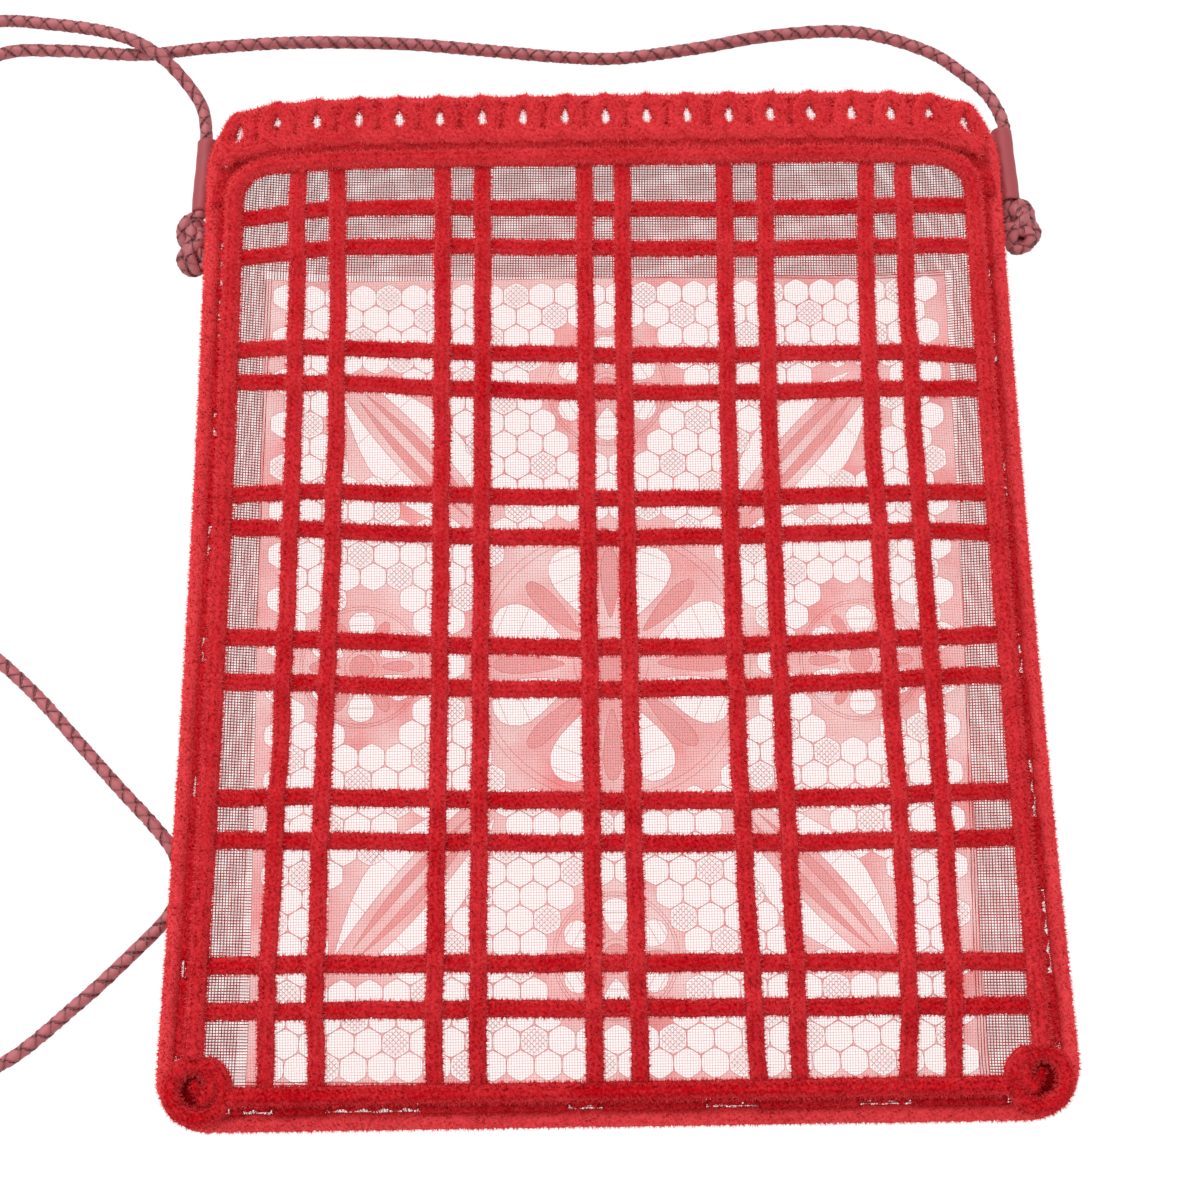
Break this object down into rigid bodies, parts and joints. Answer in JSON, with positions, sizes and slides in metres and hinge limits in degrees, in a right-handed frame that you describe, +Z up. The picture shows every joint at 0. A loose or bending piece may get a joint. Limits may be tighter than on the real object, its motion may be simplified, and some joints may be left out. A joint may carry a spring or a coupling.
{
  "type": "net pouch",
  "caption": "Flat open-topped net pouch with a raised velour cord lattice, looped mouth trim, cutwork lace back and a long braided leather strap.",
  "frame": {"origin": "bottom centre of the pouch as it lies on its back, without the strap and its knots", "axes": "+X across the front to the viewer's right, +Y towards the open mouth, +Z up out of the lattice front"},
  "size_m": [0.3798, 0.2982, 0.0226],
  "materials": {
    "velour": "raised red velour pile",
    "net": "fine sheer net",
    "lace": "sheer pink cutwork lace",
    "leather": "smooth dusty red leather",
    "braid": "round braided leather cord"
  },
  "bodies": {
    "root": {"front_net": "net", "back_net": "net", "lace_panel": "lace", "seam_cord": "velour", "frame_cord": "velour", "frame_foot_cord": "velour", "corner_coil_left": "velour", "corner_coil_right": "velour", "loop_trim": "velour", "loop_base_cord": "velour", "back_hem_cord": "velour", "row_01": "velour", "row_02": "velour", "row_03": "velour", "row_04": "velour", "row_05": "velour", "row_06": "velour", "row_07": "velour", "row_08": "velour", "row_09": "velour", "row_10": "velour", "row_11": "velour", "row_12": "velour", "column_01": "velour", "column_02": "velour", "column_03": "velour", "column_04": "velour", "column_05": "velour", "column_06": "velour", "column_07": "velour", "column_08": "velour", "column_09": "velour", "column_10": "velour", "sleeve_left": "leather", "sleeve_right": "leather", "knot_left": "braid", "knot_right": "braid", "strap": "braid"}
  },
  "joints": []
}
